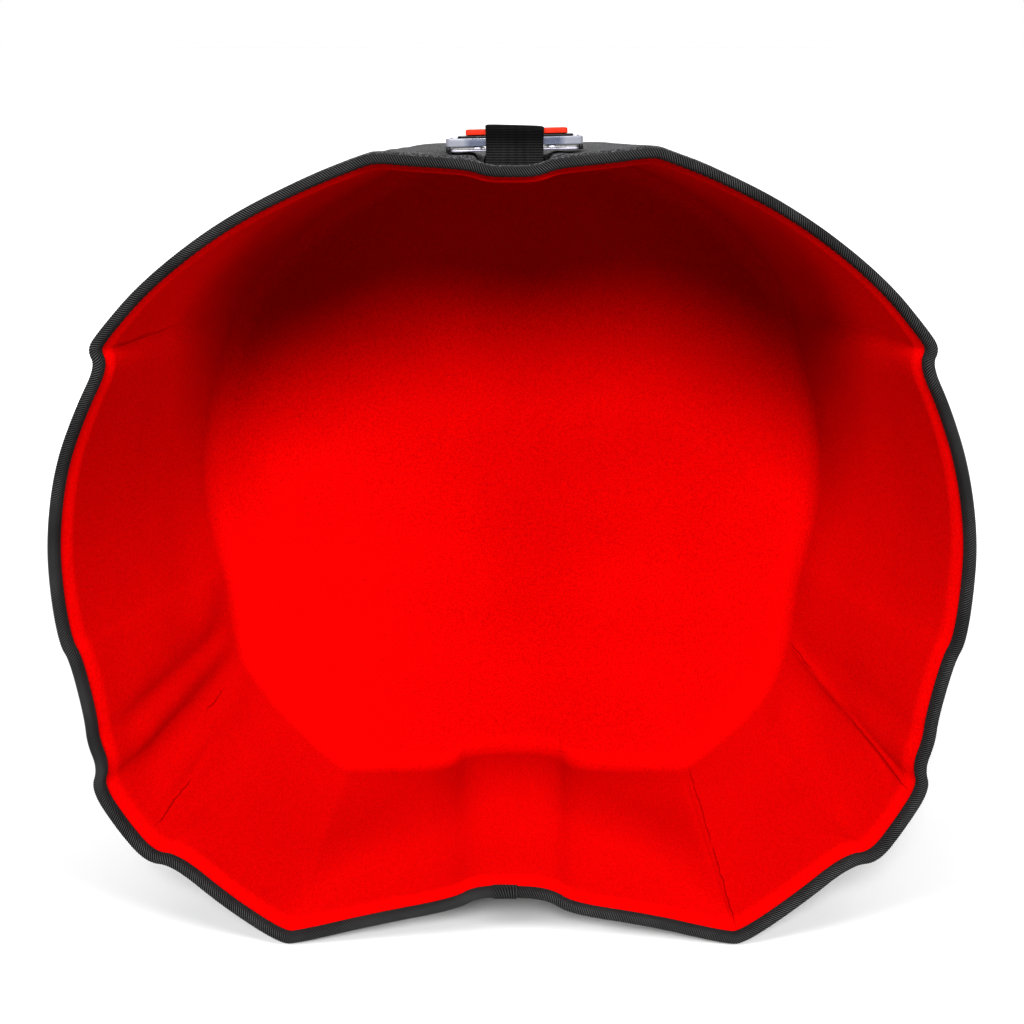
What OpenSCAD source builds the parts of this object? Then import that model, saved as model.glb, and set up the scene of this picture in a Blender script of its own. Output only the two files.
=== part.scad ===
// Moulded carrying-case half shell with a label held under an elastic loop.
// Millimetres. X is to the right of the mouth, Y runs into the case, Z is up.
// Parts are drawn square to the mouth, then place() leans the case back until the two
// ridges of its lower wall lie on the floor.

/* [Shell] */
// depth from the mouth to the red back panel
cavity_d = 195; // [150:1:230]
// full thickness of the moulded wall, fabrics included
wall_t = 7; // [4:0.5:10]
// thickness of the pressed rim, fabrics included
rim_t = 2.8; // [2:0.1:4]
// thickness of the outer fabric
skin_t = 0.6; // [0.4:0.1:1]
// thickness of the brushed red lining
lining_t = 0.7; // [0.4:0.1:1]
// depth of the pressed band that the binding covers
press_d = 5; // [4:0.5:8]
// depth at which the wall reaches its full thickness
bevel_d = 12; // [9:0.5:16]
// how far the full wall stands out past the pressed rim
bevel_out = 1.6; // [0.5:0.1:3]

/* [Binding] */
// thickness of the folded tape
tape_t = 0.6; // [0.4:0.1:1]
// length of the overlap where the tape ends meet
lap_l = 10.8; // [6:0.2:20]
// distance of the stitch row from the mouth
stitch_d = 3.4; // [2.5:0.1:4]
// width of the thread in the stitch row
thread_w = 0.5; // [0.3:0.1:0.8]

/* [Elastic loop] */
// width of the elastic
loop_w = 24.6; // [20:0.1:30]
// thickness of the elastic
loop_t = 1.1; // [0.8:0.1:1.6]
// depth of the loop's front face behind the mouth
loop_front = 13.6; // [13:0.1:16]
// height of the loop's top above the floor
loop_top = 362.9; // [360:0.1:366]
// sideways place of the loop's middle
loop_x = 1.1; // [-3:0.1:3]
// how far the legs of the elastic reach into the foam
leg_deep = 4; // [2:0.5:5]

/* [Label] */
// length of the clear label case across the groove
label_l = 57.6; // [50:0.1:64]
// size of the label case along the depth of the shell
label_w = 32; // [24:0.5:36]
// tilt of the label, right end up, degrees
label_tilt = 1.45; // [0:0.05:3]
// height of the base plate's underside at the middle
label_z = 352.15; // [352:0.05:353]
// thickness of the clear base plate
base_t = 0.75; // [0.6:0.05:1.2]
// gap between base plate and label case
rivet_h = 1.3; // [1:0.1:2]
// thickness of the clear label case
case_t = 3.5; // [2.5:0.1:5]
// thickness of the black film on the label case
film_t = 0.85; // [0.5:0.05:1.2]
// length of the orange plate
plate_l = 42.8; // [38:0.1:46]
// thickness of the orange plate
plate_t = 2.2; // [1.6:0.1:3]
// running gap between parts that slide on each other
slide_gap = 0.3; // [0.3:0.05:0.5]

/* [Hidden] */
// Mouth outline on the outer fabric, clockwise from the top centre: right half, then left.
rim_r = [
    [0, 345.2], [10, 345.4], [17, 348.2], [26, 349.4], [42, 351], [58.5, 353.4], [64.5, 352],
    [88.5, 342.9], [122, 325.8], [156, 299.8], [176, 276.5], [180, 270], [176.9, 263.4],
    [185.8, 245.3], [195.1, 219], [200.4, 188], [199.8, 162], [197.4, 140.8], [193.3, 133.5],
    [187.2, 106.7], [186.4, 95.5], [182.3, 83.6], [185.4, 74], [175.2, 56], [164, 39.6],
    [152, 38.6], [129.6, 18.9], [105, 0.7], [97, 0.5], [62, 9.2], [26, 15], [16.4, 21.9],
    [0, 23.1]
];
rim_l = [
    [10, 345.4], [16, 347.6], [26, 348.7], [42, 349.6], [56.5, 351], [63.5, 349.2],
    [87, 340.2], [120.8, 323.9], [154.6, 298.8], [175.2, 275.8], [178.8, 269.6],
    [175.5, 262.9], [185, 245], [195.4, 219.2], [200.4, 188], [199.9, 162], [197, 140.3],
    [193, 133.6], [187.7, 106.5], [187.3, 95.6], [183.1, 83.6], [186.7, 73.8], [176, 55.4],
    [163.8, 39.6], [152.2, 38.6], [130, 18.5], [105, 0.7], [97, 0.9], [62, 9.7],
    [25, 17.2], [16, 22.8]
];
// Outline of the red back panel, point for point with the mouth.
back_r = [
    [0, 340.8], [12, 340.8], [18, 345], [26, 345.8], [40, 346], [50, 345.6], [56, 343.4],
    [76, 335.5], [102, 320.5], [126, 299], [141, 276], [144.5, 268], [147, 257],
    [152, 238], [158.5, 212], [161.8, 186], [161, 160], [155, 134], [152.5, 125],
    [150, 104], [149.3, 95], [147, 83], [145, 75], [139, 59], [129, 46],
    [121, 37.5], [107, 24], [94, 14.8], [87, 14], [60, 13.6], [33, 14.6], [24, 23],
    [0, 24.4]
];
back_l = [
    [12, 340.8], [18, 345], [26, 345.6], [38, 345.4], [48, 344.4], [54, 341.6],
    [72, 332.5], [96, 317], [121, 296], [138, 274], [142.5, 267],
    [146, 257], [151.5, 238], [158.5, 212], [161.8, 186], [161, 160], [155, 134],
    [152.5, 125], [150, 104], [149.3, 95], [147, 83], [144, 75], [134, 59],
    [123, 46], [115, 37.5], [103, 24], [92, 14.8], [85, 14], [60, 13.6],
    [33, 14.6], [24, 23]
];
mid = [0, 185];          // point every back panel radius runs to
lean = 2.34;             // degrees back, so that the tapered lower wall lies flat
case_off = [0.02, -107.47, 0.964]; // puts the origin on the floor under the middle of the case
module place() { translate(case_off) rotate([-lean, 0, 0]) children(); }

function mirrored(l) = [for (i = [len(l) - 1:-1:0]) [-l[i][0], l[i][1]]];
rim = concat(rim_r, mirrored(rim_l));
back = concat(back_r, mirrored(back_l));
n_c = len(rim);
n_p = 2 * n_c;

// quadratic B-spline through the outline's control points, f = place from 0 to n_c
function at(c, f) =
    let (
        n = len(c), i = floor(f) % n, t = f - floor(f),
        a = (c[(i + n - 1) % n] + c[i]) / 2, b = (c[i] + c[(i + 1) % n]) / 2
    )
    (1 - t) * (1 - t) * a + 2 * t * (1 - t) * c[i] + t * t * b;
function unit(v) = v / norm(v);
// inward normal of an outline, taken over half a control step each way
function inward(c, f) =
    let (n = len(c), v = at(c, f + 0.5) - at(c, f + n - 0.5)) unit([v[1], -v[0]]);

// A wall point: f = place round the outline, s = [depth, inward offset, radius pulled in].
function wall(f, s) =
    let (
        k = min(s[0], cavity_d) / cavity_d,
        r = at(rim, f), b = at(back, f),
        p = r + (b - r) * k + unit(inward(rim, f) * (1 - k) + inward(back, f) * k) * s[1],
        q = p + unit(mid - p) * s[2]
    )
    [q[0], s[0], q[1]];

// Offsets of the outer surface at depth d: it stands out by the bevel, then runs to the
// back panel's outline plus the wall.
function out_t(d) = -(bevel_out + (wall_t - bevel_out) * d / cavity_d);
back_d = cavity_d + wall_t;
outer = [
    [0, 0, 0], [press_d, 0, 0], [(press_d + bevel_d) / 2, out_t(bevel_d) / 2, 0],
    [bevel_d, out_t(bevel_d), 0], [100, out_t(100), 0], [back_d - 16, out_t(back_d - 16), 0],
    [back_d - 6.5, -wall_t, 2.5], [back_d - 1.6, -wall_t, 7.5], [back_d, -wall_t, 14]
];
in_t = out_t(bevel_d) + wall_t;
inner = [
    [0, rim_t, 0], [press_d, rim_t, 0], [(press_d + bevel_d) / 2, (rim_t + in_t) / 2, 0],
    [bevel_d, in_t, 0], [100, out_t(100) + wall_t, 0],
    [cavity_d - 11, out_t(cavity_d - 11) + wall_t, 0],
    [cavity_d - 4.5, 0, 2.3], [cavity_d - 1.1, 0, 5.3], [cavity_d, 0, 10]
];
n_s = len(outer);
// Share of the thickness at station k that lies outside a fabric joint.
function share(k, thin, full) = k < 2 ? thin : k == 2 ? (thin + full) / 2 : full;
function between(thin, full) = [
    for (k = [0:n_s - 1]) outer[k] + (inner[k] - outer[k]) * share(k, thin, full)
];
skin_in = between(skin_t / rim_t, skin_t / wall_t);
core_in = between(1 - lining_t / rim_t, 1 - lining_t / wall_t);

function ring(s) = [for (i = [0:n_p - 1]) wall(i / 2, s)];
function flat(l) = [for (a = l) for (b = a) b];

// A closed sheet between surface a (outside) and surface b (inside), both lists of stations.
module layer(a, b) {
    rings = concat([for (k = [n_s - 1:-1:0]) ring(a[k])], [for (k = [0:n_s - 1]) ring(b[k])]);
    m = len(rings);
    pts = concat(flat(rings), [[mid[0], a[n_s - 1][0], mid[1]], [mid[0], b[n_s - 1][0], mid[1]]]);
    last = (m - 1) * n_p;
    strips = [
        for (j = [0:m - 2]) for (i = [0:n_p - 1])
            let (p = j * n_p + i, q = j * n_p + (i + 1) % n_p)
                j < n_s
                    ? [[p, q, q + n_p], [p, q + n_p, p + n_p]]
                    : [[p, q, p + n_p], [q, q + n_p, p + n_p]]
    ];
    fans = [
        for (i = [0:n_p - 1])
            let (q = (i + 1) % n_p) [[m * n_p, q, i], [m * n_p + 1, last + i, last + q]]
    ];
    polyhedron(pts, concat(flat(strips), flat(fans)));
}

// A wall point that lies on the straight line between two neighbouring ring points, so that
// a section put in between them still touches the fabric it lies on.
function on_ring(f, s) =
    let (a = floor(2 * f) / 2, t = 2 * (f - a))
    t < 0.0001 ? wall(a, s) : wall(a, s) * (1 - t) + wall(a + 0.5, s) * t;

// Sections swept round the closed mouth: stops = list of [place f, list of stations].
module sweep(stops) {
    n = len(stops);
    m = len(stops[0][1]);
    pts = flat([for (p = stops) [for (s = p[1]) on_ring(p[0], s)]]);
    sides = flat([
        for (i = [0:n - 1]) for (j = [0:m - 1])
            let (
                a = i * m + j, b = i * m + (j + 1) % m,
                c = ((i + 1) % n) * m + (j + 1) % m, d = ((i + 1) % n) * m + j
            )
            // the face on the lining is split the way the lining's own faces are
            j == 2 ? [[a, b, d], [b, c, d]] : [[a, b, c], [a, c, d]]
    ]);
    polyhedron(pts, sides);
}
function round_mouth(sec) = [for (i = [0:n_p - 1]) [i / 2, sec]];

tape_front = -0.8;
sd0 = stitch_d - thread_w / 2;
sd1 = stitch_d + thread_w / 2;
sink = tape_t / 2;       // the thread pulls into half the tape
tape = [
    [press_d, 0, 0], [0, 0, 0], [0, rim_t, 0], [press_d, rim_t, 0],
    [press_d, rim_t + tape_t, 0],
    [sd1, rim_t + tape_t, 0], [sd1, rim_t + sink, 0], [sd0, rim_t + sink, 0],
    [sd0, rim_t + tape_t, 0],
    [0.3, rim_t + tape_t, 0], [-0.5, rim_t + 0.1, 0], [tape_front, rim_t - 0.8, 0],
    [tape_front, 0.8, 0], [-0.5, -0.1, 0], [0.3, -tape_t, 0],
    [sd0, -tape_t, 0], [sd0, -sink, 0], [sd1, -sink, 0], [sd1, -tape_t, 0],
    [press_d, -tape_t, 0]
];
// The same section where the free end of the tape lies over its start.
lap_u = 0.5;
lap_e = tape_t + lap_u;
lap = [
    [press_d, 0, 0], [0, 0, 0], [0, rim_t, 0], [press_d, rim_t, 0],
    [press_d, rim_t + lap_e, 0],
    [sd1, rim_t + lap_e, 0], [sd1, rim_t + sink, 0], [sd0, rim_t + sink, 0],
    [sd0, rim_t + lap_e, 0],
    [0.2, rim_t + lap_e, 0], [-0.8, rim_t + 0.5, 0], [tape_front - lap_u, rim_t - 0.7, 0],
    [tape_front - lap_u, 0.7, 0], [-0.8, -0.5, 0], [0.2, -lap_e, 0],
    [sd0, -lap_e, 0], [sd0, -sink, 0], [sd1, -sink, 0], [sd1, -lap_e, 0],
    [press_d, -lap_e, 0]
];
lap_f0 = 32.355;         // the free end, 2.4 mm to the right of the bottom centre
lap_f1 = lap_f0 + lap_l / 16; // 16 mm of tape to one control step here
tape_stops = concat(
    [for (i = [0:2 * 32]) [i / 2, tape]],
    [[lap_f0 - 0.02, tape], [lap_f0, lap], [32.5, lap], [lap_f1 - 0.05, lap], [lap_f1, tape]],
    [for (i = [2 * 33 + 1:n_p - 1]) [i / 2, tape]]
);

y_front = loop_front;                    // the elastic's front leg
y_label = loop_front + loop_t + slide_gap; // the label's front edge
y_rear = y_label + label_w + slide_gap;  // the elastic's rear leg
floor_z = 347.3;                         // groove floor under the loop
leg_z = floor_z - leg_deep;
stack_h = base_t + rivet_h + case_t + film_t;

module legs(g) {
    for (y = [y_front, y_rear])
        translate([loop_x - loop_w / 2 - g, y - g, leg_z - g])
            cube([loop_w + 2 * g, loop_t + 2 * g, 14]);
}

module outer_skin() {
    color([0.16, 0.16, 0.17]) place() difference() {
        layer(outer, skin_in);
        legs(0);
    }
}

module foam_core() {
    color([0.12, 0.12, 0.12]) place() difference() {
        layer(skin_in, core_in);
        legs(0);
    }
}

module red_lining() {
    color([0.85, 0.02, 0.02]) place() layer(core_in, inner);
}

module rim_binding() {
    color([0.07, 0.07, 0.08]) place() sweep(tape_stops);
}

module binding_needle_thread() {
    color([0.05, 0.05, 0.05]) place() sweep(round_mouth([
        [sd0, rim_t + sink, 0], [sd1, rim_t + sink, 0],
        [sd1, rim_t + tape_t, 0], [sd0, rim_t + tape_t, 0]
    ]));
}

module binding_bobbin_thread() {
    color([0.05, 0.05, 0.05]) place() sweep(round_mouth([
        [sd0, -tape_t, 0], [sd1, -tape_t, 0], [sd1, -sink, 0], [sd0, -sink, 0]
    ]));
}

// The loop seen from its side: [depth, height], rounded over the label.
module loop_side(grow, r) {
    y0 = y_front + loop_t - grow;
    y1 = y_rear + grow;
    z1 = loop_top - loop_t + grow;
    hull() {
        translate([y0, leg_z]) square([y1 - y0, 1]);
        translate([y0 + r, z1 - r]) circle(r = r, $fn = 32);
        translate([y1 - r, z1 - r]) circle(r = r, $fn = 32);
    }
}

module elastic_loop() {
    color([0.06, 0.06, 0.07]) place()
        translate([loop_x - loop_w / 2, 0, 0]) rotate([90, 0, 90])
            linear_extrude(height = loop_w) difference() {
                loop_side(loop_t, 2);
                translate([0, -0.01]) loop_side(0, 0.9);
            }
}

// Places a label part: its own origin is the middle of the base plate's front lower edge.
module on_label() {
    place() translate([loop_x, y_label, label_z])
        rotate([0, -label_tilt, 0]) children();
}

base_l = label_l - 3.4;
module label_base() {
    color([0.8, 0.82, 0.85, 0.6]) on_label()
        translate([-base_l / 2, 0.4, 0]) cube([base_l, label_w - 0.8, base_t]);
}

rivet_x = 15.7;
module rivet(x) {
    color([0.85, 0.85, 0.87]) on_label()
        translate([x, label_w / 2, base_t]) union() {
            cylinder(d = 3, h = rivet_h, $fn = 32);
            translate([-1.2, -label_w / 2 + 1, 0]) cube([2.4, label_w / 2 - 1, rivet_h]);
        }
}
module label_rivet_left() { rivet(-rivet_x); }
module label_rivet_right() { rivet(rivet_x); }

clip_w = 1.7;
module clip(side) {
    color([0.05, 0.05, 0.05]) on_label()
        translate([side > 0 ? base_l / 2 : -base_l / 2 - clip_w, 0.2, -0.15])
            cube([clip_w, label_w - 0.4, base_t + rivet_h + 0.15]);
}
module label_clip_left() { clip(-1); }
module label_clip_right() { clip(1); }

case_wall = 1.1;
rib_l = -20.3;
rib_r = 19.9;
rib_w = 1.8;
module label_case() {
    z0 = base_t + rivet_h;
    color([0.85, 0.87, 0.9, 0.5]) on_label() difference() {
        translate([-label_l / 2, 0, z0]) cube([label_l, label_w, case_t]);
        // the three pockets of the tray, open upwards under the film
        translate([-label_l / 2 + case_wall, case_wall, z0 + 0.9])
            cube([rib_l + label_l / 2 - case_wall, label_w - 2 * case_wall, case_t]);
        translate([rib_l + rib_w, case_wall, z0 + 0.9])
            cube([rib_r - rib_l - rib_w, label_w - 2 * case_wall, case_t]);
        translate([rib_r + rib_w, case_wall, z0 + 0.9])
            cube([label_l / 2 - case_wall - rib_r - rib_w, label_w - 2 * case_wall, case_t]);
    }
}

film_l = 48.6;
module label_film() {
    color([0.03, 0.03, 0.03]) on_label()
        translate([-23.8, 0, base_t + rivet_h + case_t]) cube([film_l, label_w, film_t]);
}

module orange_plate() {
    color([0.95, 0.25, 0.08]) on_label()
        translate([-20.4, 0.6, stack_h + slide_gap]) cube([plate_l, label_w - 1.2, plate_t]);
}

outer_skin();
foam_core();
red_lining();
rim_binding();
binding_needle_thread();
binding_bobbin_thread();
elastic_loop();
label_base();
label_rivet_left();
label_rivet_right();
label_clip_left();
label_clip_right();
label_case();
label_film();
orange_plate();
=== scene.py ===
# %% [markdown]
# # Moulded case half with a label under elastic
# The real thing is one sheet of foam between two fabrics, pressed hot in a mould, trimmed,
# and bound with tape round its mouth. On its top an elastic comes out of a groove and holds
# a flat clear label case with an orange plate on it.
#
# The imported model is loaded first. Everything below is placed in that same frame, in
# metres, with Z up and the mouth facing -Y.

# %% load the frame
import math
import bpy
import numpy as np
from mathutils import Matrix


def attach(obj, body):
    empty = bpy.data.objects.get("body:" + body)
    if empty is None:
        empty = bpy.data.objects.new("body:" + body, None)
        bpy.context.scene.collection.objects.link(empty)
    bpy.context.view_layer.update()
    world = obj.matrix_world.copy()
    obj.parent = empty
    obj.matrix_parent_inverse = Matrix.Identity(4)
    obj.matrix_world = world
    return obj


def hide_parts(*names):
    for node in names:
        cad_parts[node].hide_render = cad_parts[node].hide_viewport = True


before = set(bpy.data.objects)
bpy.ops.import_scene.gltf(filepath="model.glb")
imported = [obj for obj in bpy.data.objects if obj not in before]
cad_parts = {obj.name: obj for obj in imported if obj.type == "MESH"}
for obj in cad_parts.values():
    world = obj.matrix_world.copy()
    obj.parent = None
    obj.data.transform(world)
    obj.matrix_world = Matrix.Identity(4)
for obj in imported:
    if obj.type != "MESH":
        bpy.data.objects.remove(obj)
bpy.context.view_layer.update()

# %% [markdown]
# ## The shape of the shell
# A mould maker draws two outlines: the mouth, and the flat back panel. The wall runs
# straight from one to the other. Each outline is a smooth curve steered by a short list of
# corner points, which keeps the relief steps where the maker put them. Working in
# millimetres square to the mouth is easiest, so one function leans the finished points back
# onto the floor and turns them into metres.

# %% outlines in millimetres, clockwise from the top centre
rim_right = [
    (0, 345.2), (10, 345.4), (17, 348.2), (26, 349.4), (42, 351), (58.5, 353.4), (64.5, 352),
    (88.5, 342.9), (122, 325.8), (156, 299.8), (176, 276.5), (180, 270), (176.9, 263.4),
    (185.8, 245.3), (195.1, 219), (200.4, 188), (199.8, 162), (197.4, 140.8), (193.3, 133.5),
    (187.2, 106.7), (186.4, 95.5), (182.3, 83.6), (185.4, 74), (175.2, 56), (164, 39.6),
    (152, 38.6), (129.6, 18.9), (105, 0.7), (97, 0.5), (62, 9.2), (26, 15), (16.4, 21.9),
    (0, 23.1)]
rim_left = [
    (10, 345.4), (16, 347.6), (26, 348.7), (42, 349.6), (56.5, 351), (63.5, 349.2),
    (87, 340.2), (120.8, 323.9), (154.6, 298.8), (175.2, 275.8), (178.8, 269.6),
    (175.5, 262.9), (185, 245), (195.4, 219.2), (200.4, 188), (199.9, 162), (197, 140.3),
    (193, 133.6), (187.7, 106.5), (187.3, 95.6), (183.1, 83.6), (186.7, 73.8), (176, 55.4),
    (163.8, 39.6), (152.2, 38.6), (130, 18.5), (105, 0.7), (97, 0.9), (62, 9.7),
    (25, 17.2), (16, 22.8)]
back_right = [
    (0, 340.8), (12, 340.8), (18, 345), (26, 345.8), (40, 346), (50, 345.6), (56, 343.4),
    (76, 335.5), (102, 320.5), (126, 299), (141, 276), (144.5, 268), (147, 257),
    (152, 238), (158.5, 212), (161.8, 186), (161, 160), (155, 134), (152.5, 125),
    (150, 104), (149.3, 95), (147, 83), (145, 75), (139, 59), (129, 46),
    (121, 37.5), (107, 24), (94, 14.8), (87, 14), (60, 13.6), (33, 14.6), (24, 23),
    (0, 24.4)]
back_left = [
    (12, 340.8), (18, 345), (26, 345.6), (38, 345.4), (48, 344.4), (54, 341.6),
    (72, 332.5), (96, 317), (121, 296), (138, 274), (142.5, 267),
    (146, 257), (151.5, 238), (158.5, 212), (161.8, 186), (161, 160), (155, 134),
    (152.5, 125), (150, 104), (149.3, 95), (147, 83), (144, 75), (134, 59),
    (123, 46), (115, 37.5), (103, 24), (92, 14.8), (85, 14), (60, 13.6),
    (33, 14.6), (24, 23)]


def whole(right, left):
    """The left half is given with positive x, so it is turned over and run backwards."""
    flipped = np.array(left[::-1], float) * (-1, 1)
    return np.vstack([np.array(right, float), flipped])


rim, back = whole(rim_right, rim_left), whole(back_right, back_left)
STEPS = len(rim)
print("outline steps", STEPS)

# %% [markdown]
# A quadratic B-spline passes close by its corner points and never swings past them, so a
# pressed step stays as crisp as the list makes it. The inward normal is the curve's
# direction turned a quarter turn.

# %% curves and wall points
CAVITY, WALL, PRESSED = 195.0, 7.0, 2.8        # depth, wall and pressed rim, mm
PRESS_D, BEVEL_D, BEVEL_OUT = 5.0, 12.0, 1.6
LEAN = math.radians(2.34)
SHIFT = np.array([0.02, -107.47, 0.964])
MID = np.array([0.0, 185.0])


def unit(v):
    """v divided by its length."""
    return v / np.linalg.norm(v, axis=-1, keepdims=True)


def curve(points, f):
    """Quadratic B-spline: (1-t)^2 a + 2t(1-t) p + t^2 b, where a and b are edge midpoints."""
    n = len(points)
    i = np.floor(f).astype(int) % n
    t = (f - np.floor(f))[..., None]
    p = points[i]
    a, b = (points[(i - 1) % n] + p) / 2, (p + points[(i + 1) % n]) / 2
    return (1 - t) ** 2 * a + 2 * t * (1 - t) * p + t * t * b


def inward(points, f):
    """Chord over one step, turned a quarter turn towards the inside."""
    v = curve(points, f + 0.5) - curve(points, f + len(points) - 0.5)
    return unit(np.stack([v[..., 1], -v[..., 0]], -1))


def wall_at(f, d, t, r):
    """Between the outlines at depth d, moved t inwards and r towards the middle."""
    f, d, t, r = np.broadcast_arrays(f, d, t, r)
    k = (np.minimum(d, CAVITY) / CAVITY)[..., None]
    p = curve(rim, f) * (1 - k) + curve(back, f) * k
    p = p + unit(inward(rim, f) * (1 - k) + inward(back, f) * k) * t[..., None]
    p = p + unit(MID - p) * r[..., None]
    return np.stack([p[..., 0], d, p[..., 1]], -1)


def on_floor(p):
    """Leans a point back about the floor line and turns millimetres into metres."""
    y, z = p[..., 1], p[..., 2]
    c, s = math.cos(LEAN), math.sin(LEAN)
    q = np.stack([p[..., 0], y * c + z * s, z * c - y * s], -1)
    return (q + SHIFT) / 1000


def outer_t(d):
    """The full wall stands out from the straight line by the bevel, growing to the wall."""
    return -(BEVEL_OUT + (WALL - BEVEL_OUT) * d / CAVITY)


print("mouth, top centre, mm", wall_at(0.0, 0.0, 0.0, 0.0).round(1))

# %% [markdown]
# ## From arrays to meshes
# Every new piece is a grid of points: rows along one direction, columns along the other.
# The arrays go into the mesh in one call each, which is far quicker than a loop, and the
# object then rides on its body.

# %% arrays into a mesh


def mesh_object(name, verts, faces, loop_uv, body):
    """Puts arrays into a mesh. faces is a list of index arrays, one per corner count."""
    me = bpy.data.meshes.new(name)
    me.vertices.add(len(verts))
    me.vertices.foreach_set("co", np.ascontiguousarray(verts, dtype=np.float32).ravel())
    loops = np.concatenate([a.ravel() for a in faces]).astype(np.int32)
    sizes = np.concatenate([np.full(len(a), a.shape[1]) for a in faces])
    starts = np.concatenate([[0], np.cumsum(sizes)[:-1]]).astype(np.int32)
    me.loops.add(len(loops))
    me.loops.foreach_set("vertex_index", loops)
    me.polygons.add(len(sizes))
    me.polygons.foreach_set("loop_start", starts)
    me.polygons.foreach_set("use_smooth", np.ones(len(sizes), bool))
    me.update(calc_edges=True)
    if loop_uv is not None:
        layer = me.uv_layers.new(name="UVMap")
        layer.data.foreach_set("uv", loop_uv.astype(np.float32).ravel())
    obj = bpy.data.objects.new(name, me)
    bpy.context.scene.collection.objects.link(obj)
    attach(obj, body)
    return obj


print("mesh_object ready")

# %% [markdown]
# A grid is closed in two ways. Its last column can join its first, as round a tube, and an
# end row can be closed with a fan of triangles to a middle point, so a pole has no hole.
# The UV map stores real distances, so a weave can be given its true pitch.

# %% ends and UV of a grid


def end_fan(k, n, end, hub):
    """Triangles from the first row (end 0) or the last to the point number hub."""
    j = np.arange(n)
    row = 0 if end == 0 else (k - 1) * n
    a, b = row + j, row + (j + 1) % n
    pair = (b, a) if end == 0 else (a, b)
    return np.stack([*pair, np.full(n, hub)], -1)


def corner_uv(u, v, k, cols, ends):
    """UV of every face corner: a quad takes its four grid corners, a fan triangle two and
    the mean of its row. Returned as one array of quads and, with fans, one of triangles."""
    U = np.broadcast_to(u, (k, cols + 1)) if np.ndim(u) == 1 else u
    V = np.broadcast_to(np.asarray(v)[:, None], (k, cols + 1)) if np.ndim(v) == 1 else v
    G = np.stack([U, V], -1)
    quads = np.stack([G[:-1, :-1], G[:-1, 1:], G[1:, 1:], G[1:, :-1]], 2)
    fans = []
    for end in ends:
        g = G[0 if end == 0 else -1]
        hub = np.broadcast_to(g.mean(0), g[:-1].shape)
        pair = (g[1:], g[:-1]) if end == 0 else (g[:-1], g[1:])
        fans.append(np.stack([*pair, hub], 1))
    return [quads.reshape(-1, 4, 2)] + ([np.concatenate(fans)] if fans else [])


print("end_fan and corner_uv ready")

# %% [markdown]
# With those, one function makes every piece. A closed piece is turned so that its faces
# point outwards: the sum of A . (B x C) over its triangles is six times its volume, and it
# comes out negative when the faces point in.

# %% one piece from a grid


def grid_piece(name, P, body, u=None, v=None, wrap=True, fan=(False, False),
               flip=False, closed=False):
    """P is (..., rows, columns, 3): each leading entry is one copy. fan closes an end with
    a middle point. closed turns the faces out if the enclosed volume comes out negative."""
    P = P.reshape((-1,) + P.shape[-3:])
    m, k, n, _ = P.shape
    cols = n if wrap else n - 1
    ends = [end for end, use in enumerate(fan) if use]
    r, c = np.meshgrid(np.arange(k - 1), np.arange(cols), indexing="ij")
    c2 = (c + 1) % n
    quads = np.stack([r * n + c, r * n + c2, (r + 1) * n + c2, (r + 1) * n + c], -1)
    shapes = [quads.reshape(-1, 4)]
    if ends:
        shapes.append(np.concatenate([end_fan(k, n, end, k * n + i)
                                      for i, end in enumerate(ends)]))
    hubs = [P[:, 0 if end == 0 else k - 1].mean(axis=1, keepdims=True) for end in ends]
    verts = np.concatenate([P.reshape(m, -1, 3)] + hubs, axis=1)
    shift = (np.arange(m) * verts.shape[1])[:, None, None]
    faces = [(a[None] + shift).reshape(-1, a.shape[1]) for a in shapes]
    verts = verts.reshape(-1, 3)
    if closed:
        tri = np.concatenate([faces[0][:, [0, 1, 2]], faces[0][:, [0, 2, 3]]] + faces[1:])
        A, B, C = (verts[tri[:, i]] for i in range(3))
        flip = float((A * np.cross(B, C)).sum()) < 0
    uv = None
    if u is not None:
        uv = [np.tile(a, (m, 1, 1)) for a in corner_uv(u, v, k, cols, ends)]
        uv = np.concatenate([(a[:, ::-1] if flip else a).reshape(-1, 2) for a in uv])
    if flip:
        faces = [f[:, ::-1] for f in faces]
    obj = mesh_object(name, verts, faces, uv, body)
    print(f"{name}: {len(verts)} points, {sum(len(f) for f in faces)} faces")
    return obj


# %% [markdown]
# Three small tools serve many of the pieces: the running length of a line, a seeded wobble
# that keeps cloth from looking machined, and an ease curve for soft ramps.

# %% lengths and gentle unevenness


def arc_length(P):
    """Running length along the first axis of a line of points, from 0."""
    step = np.linalg.norm(np.diff(P, axis=0), axis=-1)
    return np.concatenate([[0], np.cumsum(step)])


def soft_noise(x, seed, waves=6, low=1.0, high=6.0):
    """A smooth wobble: a few sine waves of seeded pitch and phase, in -1 to 1."""
    rng = np.random.default_rng(seed)
    w, p = rng.uniform(low, high, waves), rng.uniform(0, 2 * np.pi, waves)
    return np.sin(np.asarray(x)[..., None] * w + p).mean(-1) * 1.6


def ease(x):
    """Smooth step from 0 to 1: 3 x^2 - 2 x^3, held outside."""
    x = np.clip(x, 0, 1)
    return x * x * (3 - 2 * x)


rim_length = arc_length(curve(rim, np.linspace(0, STEPS, 4001)))[-1]
print("rim length mm", round(rim_length))

# %% [markdown]
# ## Camera and light
# The case is looked at from in front and a little above, close enough for its walls to
# draw together towards the back. A soft box in front and above lights the inside and lets
# the top wall throw its shadow on the back panel. A wide soft light overhead keeps the
# floor pale and shows the top, and a weak one behind keeps the back from going black.

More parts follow.
